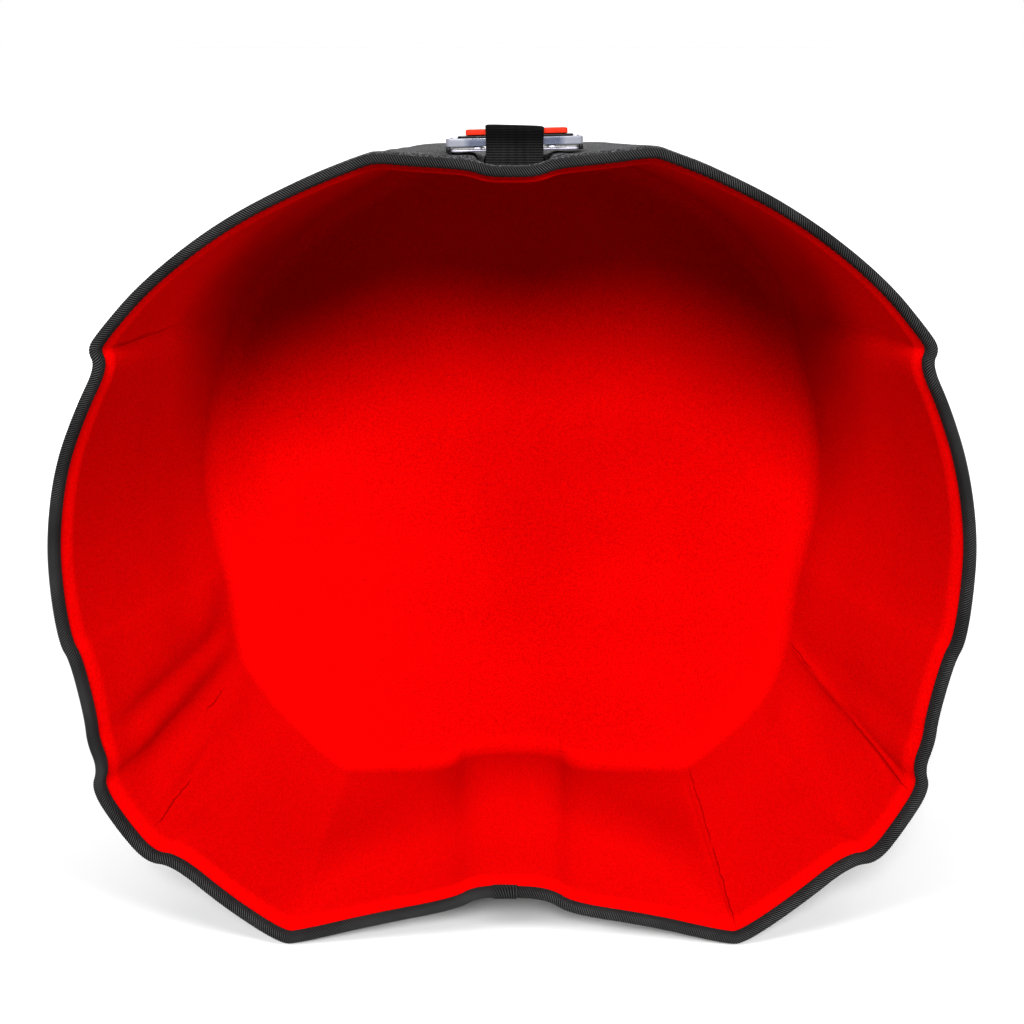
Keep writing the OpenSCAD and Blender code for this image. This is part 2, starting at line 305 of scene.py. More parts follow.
# %% camera
LENS, SENSOR = 65.25, 36.0               # mm
CAM_AWAY, CAM_UP = 0.87106, 0.40128      # from the middle of the case, m
LOOK_DOWN = 14.561                       # degrees below level
scene = bpy.context.scene
cam_data = bpy.data.cameras.new("camera")
cam_data.lens, cam_data.sensor_width = LENS, SENSOR
cam = bpy.data.objects.new("camera", cam_data)
scene.collection.objects.link(cam)
cam.location = (0.0, -CAM_AWAY, CAM_UP)
cam.rotation_euler = (math.radians(90 - LOOK_DOWN), 0, 0)
scene.camera = cam
scene.view_settings.view_transform = "Standard"
scene.view_settings.gamma = 0.76         # a contrasty studio print
print("camera at", tuple(round(v, 3) for v in cam.location))

# %% lights


def soft_sun(name, azimuth, elevation, spread_deg, lit):
    """Even light from a disc of the sky. lit is the light on a surface facing it, in W per
    m2, and spread_deg the width of the disc, which sets how soft the shadows are."""
    data = bpy.data.lights.new(name, "SUN")
    data.energy, data.angle = lit, math.radians(spread_deg)
    obj = bpy.data.objects.new(name, data)
    scene.collection.objects.link(obj)
    obj.rotation_euler = (math.pi / 2 - math.radians(elevation), 0, math.radians(azimuth))
    return obj


soft_sun("front_soft_box", -3, 27.5, 20, 8.3)
soft_sun("left_screen", -52, 30, 18, 3.9)
soft_sun("right_screen", 50, 24, 18, 4.5)
soft_sun("overhead_screen", 0, 80, 60, 1.6)
soft_sun("rear_screen", 165, 14, 50, 1.3)

# %% [markdown]
# The floor is a flat disc, large enough for its edge to melt into the white backdrop.

# %% floor


def round_floor(radius=40.0, n=96):
    """A flat disc: a ring of points and a fan from its middle."""
    a = np.arange(n) * 2 * np.pi / n
    P = np.vstack([[0, 0, 0], np.stack([np.cos(a), np.sin(a), a * 0], -1) * radius])
    i = np.arange(n)
    tri = np.stack([np.zeros(n, int), i + 1, (i + 1) % n + 1], -1)
    me = bpy.data.meshes.new("floor")
    me.from_pydata(P.tolist(), [], tri.tolist())
    obj = bpy.data.objects.new("floor", me)
    scene.collection.objects.link(obj)
    return obj


floor = round_floor()
print("floor", tuple(round(v, 1) for v in floor.dimensions))

# %% [markdown]
# The backdrop is plain white where it is seen, and lights the case only very faintly, so
# that the soft boxes alone shape it.

# %% backdrop
world = bpy.data.worlds.new("studio")
scene.world = world
world.use_nodes = True
sky = world.node_tree
sky_dim, sky_seen = sky.nodes["Background"], sky.nodes.new("ShaderNodeBackground")
for shade, strength in ((sky_dim, 0.02), (sky_seen, 1.0)):
    shade.inputs["Color"].default_value = (1, 1, 1, 1)
    shade.inputs["Strength"].default_value = strength
pick = sky.nodes.new("ShaderNodeMixShader")
sky.links.new(sky.nodes.new("ShaderNodeLightPath").outputs["Is Camera Ray"], pick.inputs[0])
sky.links.new(sky_dim.outputs[0], pick.inputs[1])
sky.links.new(sky_seen.outputs[0], pick.inputs[2])
sky.links.new(pick.outputs[0], sky.nodes["World Output"].inputs["Surface"])
print("backdrop nodes", len(sky.nodes))

# %% [markdown]
# ## Finishes
# Each finish is a small node tree: a colour that varies at the scale of the real surface,
# a roughness that varies with it, and a bump. `finish_tree` makes the tree, and the few
# helpers add one node each, so a material reads as a list of layers.

# %% a material, a node, coordinates and noise


def finish_tree(name, **fixed):
    """A Principled material. The fixed values are set on the shader's own sockets."""
    mat = bpy.data.materials.new(name)
    mat.use_nodes = True
    tree = mat.node_tree
    shader = tree.nodes["Principled BSDF"]
    for key, value in fixed.items():
        shader.inputs[key.replace("_", " ")].default_value = value
    return mat, tree, shader


def node(tree, kind, links=(), **values):
    """One node: values set its properties or inputs, links feeds inputs from sockets."""
    n = tree.nodes.new(kind)
    for key, value in values.items():
        if hasattr(n, key):
            setattr(n, key, value)
        else:
            n.inputs[key.replace("_", " ")].default_value = value
    for key, socket in dict(links).items():
        tree.links.new(socket, n.inputs[key])
    return n


def coords(tree, kind="Object", scale=(1, 1, 1), turn=(0, 0, 0)):
    """Coordinates in metres times a scale, so scale 1000 makes a pattern in millimetres."""
    tc = node(tree, "ShaderNodeTexCoord")
    m = node(tree, "ShaderNodeMapping", {"Vector": tc.outputs[kind]})
    m.inputs["Scale"].default_value = scale
    m.inputs["Rotation"].default_value = turn
    return m.outputs["Vector"]


def noise(tree, vector, scale, detail=3.0, rough=0.55):
    """Fractal noise from 0 to 1. Its cells are 1 / scale of the coordinate's unit."""
    n = node(tree, "ShaderNodeTexNoise", {"Vector": vector})
    n.inputs["Scale"].default_value = scale
    n.inputs["Detail"].default_value = detail
    n.inputs["Roughness"].default_value = rough
    return n.outputs["Fac"]


print("finish_tree, node, coords and noise ready")

# %% value helpers


def ramp(tree, fac, stops):
    """Colour stops [(place, (r, g, b))] along a value from 0 to 1."""
    n = node(tree, "ShaderNodeValToRGB", {"Fac": fac})
    bar = n.color_ramp
    while len(bar.elements) < len(stops):
        bar.elements.new(0.5)
    for e, (at, rgb) in zip(bar.elements, stops):
        e.position, e.color = at, (*rgb, 1)
    return n.outputs["Color"]


def spread(tree, fac, low, high, out_low, out_high):
    """Maps a value from one range to another, held at the ends."""
    n = node(tree, "ShaderNodeMapRange", {"Value": fac})
    for key, v in zip(("From Min", "From Max", "To Min", "To Max"),
                      (low, high, out_low, out_high)):
        n.inputs[key].default_value = v
    return n.outputs["Result"]


def maths(tree, op, a, b):
    """One operation on a and b, each a number or a socket."""
    n = node(tree, "ShaderNodeMath", operation=op)
    for i, v in enumerate((a, b)):
        if isinstance(v, (int, float)):
            n.inputs[i].default_value = v
        else:
            tree.links.new(v, n.inputs[i])
    return n.outputs[0]


def mix(tree, fac, a, b, kind="MIX"):
    """Colours a and b mixed by fac, each a number, a colour or a socket."""
    n = node(tree, "ShaderNodeMix", data_type="RGBA", blend_type=kind)
    for i, v in ((0, fac), (6, a), (7, b)):
        if isinstance(v, (int, float)):
            n.inputs[i].default_value = v
        elif isinstance(v, tuple):
            n.inputs[i].default_value = (*v, 1)
        else:
            tree.links.new(v, n.inputs[i])
    return n.outputs[2]


print("ramp, spread, maths and mix ready")

# %% relief helper


def bump(tree, shader, height, depth, strength=1.0, under=None):
    """depth is the real height of the relief in metres."""
    links = {"Height": height}
    if under is not None:
        links["Normal"] = under
    n = node(tree, "ShaderNodeBump", links)
    n.inputs["Strength"].default_value = strength
    n.inputs["Distance"].default_value = depth
    tree.links.new(n.outputs["Normal"], shader.inputs["Normal"])
    return n.outputs["Normal"]


print("bump ready")

# %% [markdown]
# ### Floor
# The floor is matt paper, pale enough to come out white under the lights. A very faint
# mottling keeps it from looking dead flat.

# %% floor finish


def floor_paper():
    """Two close pale greys, mixed by a slow noise."""
    mat, t, sh = finish_tree("pale_floor", Roughness=0.9)
    mottle = ramp(t, noise(t, coords(t), 3.0), [(0.3, (0.41, 0.41, 0.41)),
                                                (0.7, (0.43, 0.43, 0.43))])
    t.links.new(mottle, sh.inputs["Base Color"])
    return mat


floor.data.materials.append(floor_paper())
print("floor painted")

# %% [markdown]
# ### Brushed lining
# A knitted loop fabric is brushed until its loops stand up as a short pile. Up close it
# is thousands of tiny tufts, and from an arm's length a plain bright red with a soft edge
# where it turns away. A fine and a coarse noise give the tufts, a slow one the way the pile
# has been stroked, and sheen gives the bright edge. At the bottom of a sharp crease no light
# arrives, so a thin dark line of painted shade is laid there, wavering a little as creases do.

# %% painted crease shade
STEP_LONG = 1256.0 / STEPS      # mean length of one outline step at the mouth, mm
# each painted shade line runs from (place, depth) to (place, depth) on the cloth, with its
# half width in mm
creases = [((27.84, 5, 27.64, 96), 0.8), ((27.66, 92, 27.44, 190), 0.7),
           ((22.86, 10, 22.30, 58), 0.9), ((22.46, 44, 21.98, 86), 0.7),
           ((21.46, 140, 21.12, 190), 0.8), ((41.02, 18, 41.28, 74), 0.6),
           ((42.3, 122, 42.5, 158), 0.6), ((54.2, 8, 54.4, 60), 0.7)]


def crease_shade_line(t, at, line, half):
    """Painted shade of one crease: 1 on a line of the UV map and 0 beside it: the smoothed
    distance to the line, times a fade at each end."""
    f0, d0, f1, d1 = line
    a = np.array([f0 * STEP_LONG, d0, 0]) / 1000
    way = np.array([f1 * STEP_LONG, d1, 0]) / 1000 - a
    long = float(np.linalg.norm(way))
    way = way / long
    rel = node(t, "ShaderNodeVectorMath", operation="SUBTRACT")
    t.links.new(at, rel.inputs[0])
    rel.inputs[1].default_value = tuple(a)
    dots = []
    for axis in (way, (-way[1], way[0], 0)):
        n = node(t, "ShaderNodeVectorMath", operation="DOT_PRODUCT")
        t.links.new(rel.outputs[0], n.inputs[0])
        n.inputs[1].default_value = tuple(axis)
        dots.append(n.outputs["Value"])
    beside = spread(t, maths(t, "ABSOLUTE", dots[1], 0.0), 0.0, half / 1000, 1.0, 0.0)
    start = spread(t, dots[0], 0.0, 0.010, 0.0, 1.0)
    end = spread(t, dots[0], long - 0.010, long, 1.0, 0.0)
    return maths(t, "MULTIPLY", beside, maths(t, "MULTIPLY", start, end))


print("creases", len(creases))

# %% lining finish


def brushed_red():
    """Reds from fine tufts and clumps, slow stroke marks, and painted shade along the
    creases over them.
    """
    mat, t, sh = finish_tree("brushed_red", Roughness=0.92, Sheen_Weight=0.12,
                             Sheen_Roughness=0.5, Specular_IOR_Level=0.02)
    sh.inputs["Sheen Tint"].default_value = (1.0, 0.0, 0.0, 1)
    c = coords(t)
    tuft = noise(t, c, 1500.0, 2.0)
    clump = noise(t, c, 760.0, 3.0, 0.6)
    stroke = noise(t, c, 14.0, 3.0)
    both = maths(t, "ADD", maths(t, "MULTIPLY", tuft, 0.55), maths(t, "MULTIPLY", clump, 0.45))
    red = ramp(t, both, [(0.25, (0.21, 0.0, 0.0)), (0.5, (0.305, 0.0, 0.0)),
                         (0.75, (0.36, 0.0, 0.0))])
    slow = ramp(t, stroke, [(0.3, (0.93, 0.93, 0.93)), (0.7, (1.0, 1.0, 1.0))])
    red = mix(t, 1.0, red, slow, "MULTIPLY")
    uv = coords(t, "UV")
    waver = node(t, "ShaderNodeTexNoise", {"Vector": uv}, Scale=70.0)
    moved = node(t, "ShaderNodeVectorMath", operation="MULTIPLY_ADD")
    moved.inputs[1].default_value = (0.004, 0.004, 0.0)     # wavers by up to 4 mm
    t.links.new(waver.outputs["Color"], moved.inputs[0])
    t.links.new(uv, moved.inputs[2])
    # painted shade: a dark red line along the bottom of each crease, where no light arrives
    marks = 0.0
    for line, half in creases:
        marks = maths(t, "MAXIMUM", marks, crease_shade_line(t, moved.outputs[0], line, half))
    dark = maths(t, "MULTIPLY", marks, 0.62)
    t.links.new(mix(t, dark, red, (0.03, 0.0, 0.0)), sh.inputs["Base Color"])
    first = bump(t, sh, clump, 0.0005, 0.35)
    bump(t, sh, tuft, 0.0003, 0.5, first)
    return mat


red_mat = brushed_red()
print("brushed_red nodes", len(red_mat.node_tree.nodes))

# %% [markdown]
# ### Outer knit
# The outside is a fine dark grey knit. Its yarn is spun from several greys, so it looks
# speckled, and the loops make a fine grain.

# %% outer finish


def speckled_knit():
    """Greys from a fine speck, a slow patchiness, and a cell to each loop in the bump."""
    mat, t, sh = finish_tree("speckled_knit", Roughness=0.85, Sheen_Weight=0.03,
                             Sheen_Roughness=0.45, Specular_IOR_Level=0.10)
    c = coords(t)
    speck = noise(t, c, 1100.0, 2.0, 0.7)
    patch = noise(t, c, 60.0, 3.0)
    loop = node(t, "ShaderNodeTexVoronoi", {"Vector": c}, feature="F1")
    loop.inputs["Scale"].default_value = 900.0
    grey = ramp(t, speck, [(0.38, (0.005, 0.005, 0.0053)), (0.5, (0.018, 0.018, 0.019)),
                           (0.60, (0.095, 0.095, 0.098))])
    slow = ramp(t, patch, [(0.3, (0.86, 0.86, 0.86)), (0.7, (1.0, 1.0, 1.0))])
    t.links.new(mix(t, 1.0, grey, slow, "MULTIPLY"), sh.inputs["Base Color"])
    rough = spread(t, speck, 0.3, 0.7, 0.92, 0.74)
    t.links.new(rough, sh.inputs["Roughness"])
    first = bump(t, sh, loop.outputs["Distance"], 0.0003, 0.6)
    bump(t, sh, speck, 0.0003, 0.5, first)
    return mat


knit_mat = speckled_knit()
print("speckled_knit nodes", len(knit_mat.node_tree.nodes))

# %% [markdown]
# ### Foam
# Cut foam shows its cells. It is hidden between the fabrics, so cells and a dark grey do.

# %% foam finish


def foam_cells():
    """Cut closed-cell foam: small round cells."""
    mat, t, sh = finish_tree("foam_cells", Roughness=0.8, Specular_IOR_Level=0.2)
    c = coords(t)
    cell = node(t, "ShaderNodeTexVoronoi", {"Vector": c}, feature="F1")
    cell.inputs["Scale"].default_value = 1600.0
    t.links.new(ramp(t, cell.outputs["Distance"], [(0.1, (0.02, 0.02, 0.02)),
                                                   (0.7, (0.06, 0.06, 0.06))]),
                sh.inputs["Base Color"])
    bump(t, sh, cell.outputs["Distance"], 0.0002, 0.8)
    return mat


foam_mat = foam_cells()
print("foam_cells nodes", len(foam_mat.node_tree.nodes))

# %% [markdown]
# ### Tape, thread and elastic
# Twill tape shows slanting ribs because each yarn floats over two and steps one sideways.
# The ribs are real relief in the mesh; the material adds the single yarns along each rib,
# with the tape's own UV map, which holds metres along and across the tape, and paints a
# highlight on each crest and shade in the grooves. The elastic is ribbed straight across,
# and the rubber inside makes it a little shiny on the crests. Its colour is also painted
# lighter on its lower front face and darker over its top, as the light falls there.

# %% tape, thread and elastic finishes


def bands(tree, vector, pitch, axis):
    """A sine across the UV map with the given pitch in metres: its crest is half a pitch
    from zero, where the ribs of the mesh have theirs."""
    wave = node(tree, "ShaderNodeTexWave", {"Vector": vector}, wave_type="BANDS",
                bands_direction=axis, wave_profile="SIN")
    wave.inputs["Scale"].default_value = math.pi / 10 / pitch
    wave.inputs["Distortion"].default_value = 0.0
    return wave.outputs["Fac"]


def ribbed_cloth(name, ribs, yarns, dark, light, rough=0.62, shine=0.14, fade=None):
    """ribs and yarns are (pitch, axis). A painted highlight lies on the crest of each rib,
    broken into single yarns and by fuzz, and painted shade fills the grooves between. fade is
    (low z, high z, gain at low, gain at high): painted light by height, lighter low down and
    darker high up, as the light falls on a band that turns over its top."""
    mat, t, sh = finish_tree(name, Roughness=rough, Sheen_Weight=0.02,
                             Specular_IOR_Level=shine)
    uv = coords(t, "UV")
    rib, yarn = bands(t, uv, *ribs), bands(t, uv, *yarns)
    fuzz = noise(t, coords(t), 1500.0, 2.0, 0.7)
    rub = noise(t, coords(t), 50.0, 3.0)
    # painted highlight on the rib crests and painted shade in the grooves, carried by tone
    # into the colour
    crest = maths(t, "POWER", rib, 1.6)
    tone = maths(t, "ADD", maths(t, "MULTIPLY", crest, 0.62),
                 maths(t, "ADD", maths(t, "MULTIPLY", yarn, 0.10),
                       maths(t, "MULTIPLY", fuzz, 0.34)))
    mid = tuple((3 * dark + light) / 4 for _ in range(3))
    colour = ramp(t, tone, [(0.2, (dark,) * 3), (0.55, mid), (0.9, (light,) * 3)])
    worn = ramp(t, rub, [(0.35, (0.72, 0.72, 0.74)), (0.7, (1.3, 1.3, 1.32))])
    colour = mix(t, 1.0, colour, worn, "MULTIPLY")
    # painted light: the colour is scaled by height, brighter on the lower front face and
    # darker over the top
    if fade:
        place = node(t, "ShaderNodeSeparateXYZ", {"Vector": coords(t)})
        gain = spread(t, place.outputs["Z"], *fade)
        colour = mix(t, 1.0, colour, gain, "MULTIPLY")
    t.links.new(colour, sh.inputs["Base Color"])
    t.links.new(spread(t, tone, 0.2, 0.9, rough + 0.2, rough - 0.1), sh.inputs["Roughness"])
    bump(t, sh, tone, 0.00025, 0.9)
    return mat


tape_mat = ribbed_cloth("twill_tape", (0.00108, "X"), (0.0004, "Y"), 0.0010, 0.046,
                        shine=0.06)
thread_mat = ribbed_cloth("sewing_thread", (0.0005, "X"), (0.0003, "Y"), 0.003, 0.02)
# the elastic's fade is painted light: brighter low on its front face, darker over its top
elastic_mat = ribbed_cloth("ribbed_elastic", (0.00068, "Y"), (0.0007, "X"), 0.0008, 0.030,
                           0.6, 0.03, (0.3515, 0.3575, 1.25, 0.28))
print("cloths", tape_mat.name, thread_mat.name, elastic_mat.name)

# %% [markdown]
# ### Plastics
# The label case is clear, so most of what shows is the light inside its edges. Towards
# its two ends it is frosted white. The film under the plate is glossy black, and the plate
# is a satin orange with fine scuffs.

# %% plastic finishes


def clear_plastic(name, tint, ends, transmission):
    """Clear in the middle and frosted towards both ends, from 18.5 to 21.5 mm away from
    the middle of the label in x."""
    mat, t, sh = finish_tree(name, Roughness=0.12, IOR=1.49)
    c = coords(t)
    split = node(t, "ShaderNodeSeparateXYZ", {"Vector": c})
    away = maths(t, "ABSOLUTE", maths(t, "SUBTRACT", split.outputs["X"], 0.0011), 0.0)
    end = spread(t, away, 0.0185, 0.0215, 0.0, 1.0)
    streak = noise(t, coords(t, scale=(25, 200, 1400)), 1.0, 2.0)
    t.links.new(mix(t, end, tint, ends), sh.inputs["Base Color"])
    t.links.new(maths(t, "SUBTRACT", transmission, maths(t, "MULTIPLY", end, 0.45)),
                sh.inputs["Transmission Weight"])
    t.links.new(spread(t, streak, 0.3, 0.7, 0.14, 0.3), sh.inputs["Roughness"])
    bump(t, sh, streak, 0.00002, 0.3)
    return mat


def scuffed(name, low, high, rough_low, rough_high, scale=180.0, shine=0.4):
    """Moulded plastic: two close tones, with scuffs that change the gloss."""
    mat, t, sh = finish_tree(name, Specular_IOR_Level=shine)
    c = coords(t)
    slow, fine = noise(t, c, scale), noise(t, coords(t, scale=(1, 1, 5)), scale * 6)
    t.links.new(ramp(t, slow, [(0.3, low), (0.7, high)]), sh.inputs["Base Color"])
    t.links.new(spread(t, fine, 0.3, 0.7, rough_low, rough_high), sh.inputs["Roughness"])
    bump(t, sh, fine, 0.00003, 0.4)
    return mat


clear_mat = clear_plastic("clear_case_plastic", (0.09, 0.10, 0.14), (0.12, 0.123, 0.14), 0.50)
base_mat = clear_plastic("clear_base_plastic", (0.24, 0.23, 0.28), (0.24, 0.23, 0.27), 0.48)
white_mat = scuffed("white_peg", (0.24, 0.24, 0.27), (0.32, 0.32, 0.35), 0.2, 0.4)
black_mat = scuffed("black_gloss", (0.0015, 0.0015, 0.0015), (0.004, 0.004, 0.0045), 0.25,
                    0.45, shine=0.2)
orange_mat = scuffed("satin_orange", (0.20, 0.010, 0.0015), (0.25, 0.017, 0.004), 0.5, 0.7,
                     shine=0.12)
print("finishes", len(bpy.data.materials))

# %% [markdown]
# ## Folds in the lining
# Where flat cloth was pressed into a deep mould, it had to go somewhere: it left soft
# folds that run from the back corners out to the mouth, and a few sharp creases. Each is
# given by its two ends, as a place round the outline and a depth, with a height and a
# half width in millimetres. The cloth is lifted by a bell curve across the fold, with a
# shallow dip beside it, fading out at both ends.

# %% folds
# each runs from (place, depth) to (place, depth); then its height, its half width and the
# length over which its ends fade, in mm
folds = [
    ((54.1, 6, 54.33, 100), 0.9, 3.0, 22),
    ((53.85, 8, 54.05, 90), -0.9, 2.0, 22),
    ((45.2, 12, 46.3, 191), 2.2, 15.0, 48),
    ((44.3, 16, 45.5, 191), -1.0, 12.5, 44),
    ((43.2, 14, 44.5, 191), 2.0, 14.0, 48),
    ((42.2, 14, 43.5, 191), -1.1, 11.5, 40),
    ((41.05, 14, 41.5, 120), -0.9, 2.0, 34),
    ((41.4, 20, 42.0, 190), 1.1, 8.0, 34),
    ((22.65, 8, 21.8, 92), 0.7, 2.6, 18),
    ((22.85, 14, 21.95, 88), -0.8, 1.9, 16),
    ((21.8, 80, 21.1, 190), 1.0, 4.5, 32),
    ((24.65, 24, 23.55, 190), 1.1, 9.0, 36),
    ((27.85, 4, 27.45, 192), -0.8, 1.5, 26),
    ((28.10, 4, 27.66, 192), 0.5, 4.0, 26),
    ((38.05, 16, 37.4, 72), -0.5, 2.0, 16),
    ((10.3, 40, 9.9, 192), 0.5, 6.0, 40),
]


def fold_height(F, D):
    """Height of all folds at outline place F and depth D, arrays of one shape. For each,
    s is the distance along its line and q the distance across it, which sways a little.
    Its height is a bell curve of q with a shallow dip on one side."""
    h = np.zeros(np.broadcast(F, D).shape)
    for (f0, d0, f1, d1), high, half, fade in folds:
        a, b = np.array([f0 * STEP_LONG, d0]), np.array([f1 * STEP_LONG, d1])
        way = b - a
        long = np.linalg.norm(way)
        way = way / long
        x, y = F * STEP_LONG - a[0], D - a[1]
        s = x * way[0] + y * way[1]
        q = x * -way[1] + y * way[0] + 0.22 * half * np.sin(s / 31.0 + f0)
        inside = ease(np.minimum(s, long - s) / fade)
        h += high * inside * (np.exp(-(q / half) ** 2)
                              - 0.2 * np.exp(-((q - 2.1 * half) / (1.3 * half)) ** 2))
    return h


print("folds", len(folds))

# %% [markdown]
# ## The lining
# One surface: rows run from the pressed rim down the wall, round the back corner and over
# the back panel to its middle. Just inside the binding the wall swells from the pressed
# rim to full thickness, which shows as a bright lip.

# %% where the lining lies
PER_STEP = 10                               # columns to one outline step
BACK_MM = 195                               # depth of the back panel
TURN_AT, TURN_DEEP, TURN_IN = 184, 11, 10   # the back corner: start and its two radii
f_cols = np.arange(STEPS * PER_STEP) / PER_STEP


def lining_offset(f, d):
    """Inward offset: the pressed rim, an eased ramp, then the full wall. The ramp is steep
    and a little higher at the top, 1.8 mm deep, and slower lower down, 10 mm."""
    top = (0.5 + 0.5 * np.cos(2 * np.pi * f / STEPS)) ** 3
    full = outer_t(d) + WALL + 0.7 * top
    k = ease((d - PRESS_D + 0.4) / (10 - 8.2 * top))
    return PRESSED * (1 - k) + full * k


def panel_rows(ring, k):
    """Rings drawn in towards the middle of the back panel: MID + (ring - MID) k."""
    hub = np.array([MID[0], 0.0, MID[1]])
    flat = ring.copy()
    flat[:, 1] = 0
    rows = hub + (flat[None] - hub) * k[:, None, None]
    rows[..., 1] = ring[:, 1].mean()
    return rows


d_lip = np.concatenate([np.linspace(0, 4, 4), np.linspace(4.4, 7.4, 11),
                        np.linspace(8, 14, 6)])
d_wall = np.linspace(14, TURN_AT, 98)[1:]
turn = np.linspace(0, np.pi / 2, 12)[1:]
panel_k = np.linspace(1, 0.03, 26)[1:]
d_all = np.concatenate([d_lip, d_wall, TURN_AT + TURN_DEEP * np.sin(turn)])
r_all = np.concatenate([np.zeros(len(d_lip) + len(d_wall)), TURN_IN * (1 - np.cos(turn))])
print("lining rows", len(d_all) + len(panel_k), "columns", len(f_cols))

# %% [markdown]
# Even between its folds the cloth is not quite flat, so a slow unevenness of a third of a
# millimetre is added to the wall, and half a millimetre of puff to the back panel. Both
# fade out towards the rim and the corner, where the press held the cloth hard.

# %% lining surface
F, D = f_cols[None, :], d_all[:, None]
slow = soft_noise(D / 60 + 0.9 * np.sin(F * 2 * np.pi / STEPS), 4) \
    * soft_noise(F * 0.35, 9)
lift = fold_height(F, D) + 0.35 * slow * ease(D / 30) * ease((BACK_MM - D) / 25)
lift = lift * ease((D - 6) / 10)
wall_rows = wall_at(F, D, lining_offset(F, D) + lift, r_all[:, None])
panel = panel_rows(wall_rows[-1], panel_k)
px, pz = panel[..., 0], panel[..., 2]
puff = 0.5 * np.sin(px / 37 + 1) * np.sin(pz / 29 + 0.5) + 0.25 * np.sin(pz / 8 + px / 90)
panel[..., 1] -= puff * ease((1 - panel_k) / 0.25)[:, None]
lining_P = np.concatenate([wall_rows, panel])
run = arc_length(lining_P[:, 0])
u_len = np.linspace(0, STEP_LONG * STEPS, len(f_cols) + 1)
lining = grid_piece("brushed_lining", on_floor(lining_P), "case",
                    u=u_len / 1000, v=run / 1000, fan=(False, True), flip=True)
lining.data.materials.append(red_mat)
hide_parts("red_lining")

# %% [markdown]
# ## Outer knit
# The outside follows the same outlines, stepped out past the pressed rim by a bevel, and
# rounds off into the flat back. Under the elastic the groove is pressed lower, and its
# bank stands up to the label.

# %% outer surface
OUT_TURN_AT, OUT_TURN_DEEP, OUT_TURN_IN = 186, 16, 14


def outside_offset(d):
    """Inward offset of the outside: 0 at the pressed rim, eased out to the full wall."""
    k = ease((d - PRESS_D + 0.3) / (BEVEL_D - PRESS_D + 0.3))
    return outer_t(d) * k


def loop_groove(f, d, t):
    """Extra inward offset under the elastic, from the distance u to its middle: 1.7 mm
    inside 13 mm, then a bank that ends 0.9 mm proud and fades by 25 mm."""
    p = wall_at(f, d, t, 0.0)
    u = np.abs(p[..., 0] - 0.6)
    low = 1.7 * (1 - ease((u - 13) / 4))
    high = 0.9 * ease((u - 14.5) / 3) * (1 - ease((u - 18) / 7))
    return (low - high) * ease((d - 9) / 5) * ease((62 - d) / 12) * (p[..., 2] > 250)


d_out = np.concatenate([np.linspace(0, 5, 3), np.linspace(5, 13, 12)[1:],
                        np.linspace(13, OUT_TURN_AT, 70)[1:],
                        OUT_TURN_AT + OUT_TURN_DEEP * np.sin(turn)])
r_out = np.concatenate([np.zeros(len(d_out) - len(turn)),
                        OUT_TURN_IN * (1 - np.cos(turn))])
D = d_out[:, None]
wobble = 0.22 * soft_noise(F * 0.8 + D / 90, 21) * ease(D / 25) \
    * ease((OUT_TURN_AT - D) / 20)
skin_t = outside_offset(D) + np.abs(wobble)
skin_t = skin_t + loop_groove(F, D, skin_t)
skin_rows = wall_at(F, D, skin_t, r_out[:, None])
skin_P = np.concatenate([skin_rows, panel_rows(skin_rows[-1], panel_k)])
skin = grid_piece("knit_outside", on_floor(skin_P), "case",
                  u=u_len / 1000, v=arc_length(skin_P[:, 0]) / 1000, fan=(False, True))
skin.data.materials.append(knit_mat)
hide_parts("outer_skin")

# %% [markdown]
# ## Foam
# The foam fills the space between the two fabrics. It can not be seen while the case is
# whole, so a coarser grid is enough for it, set a little inside both of them.

# %% foam between the fabrics
f_foam = (np.arange(STEPS * 3) / 3)[None]
d_o, d_i = d_out[::2], np.append(d_all[:-1:4], d_all[-1])
r_o, r_i = np.interp(d_o, d_out, r_out), np.interp(d_i, d_all, r_all)
t_o = (outside_offset(d_o) + np.where(d_o < 8, 0.6, 0.65))[:, None]
t_o = t_o + 1.6 * np.clip(loop_groove(f_foam, d_o[:, None], t_o), 0, None)
t_i = lining_offset(f_foam, d_i[:, None] - 1.5)
t_i = t_i - (0.7 + 1.9 * ease((d_i - 8) / 12))[:, None]
deep_i = d_i + 1.7 * ease((d_i - TURN_AT) / TURN_DEEP)
rows_o = wall_at(f_foam, np.minimum(d_o, 201.3)[:, None], t_o, r_o[:, None])
rows_i = wall_at(f_foam, deep_i[:, None], t_i, r_i[:, None])
shrink = np.linspace(1, 0.05, 6)[1:]
foam_P = np.concatenate([panel_rows(rows_o[-1], shrink)[::-1], rows_o[::-1], rows_i,
                         panel_rows(rows_i[-1], shrink)])
foam = grid_piece("moulded_foam", on_floor(foam_P), "case", fan=(True, True),
                  closed=True)
foam.data.materials.append(foam_mat)
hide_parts("foam_core")

# %% [markdown]
# ## Binding
# A 16 mm twill tape is folded over the trimmed edge and sewn through. It starts at the
# bottom, runs once round the mouth, and its free end laps over its start. Its section is a
# U with soft corners, given as (depth, inward offset) of the outside of the tape.

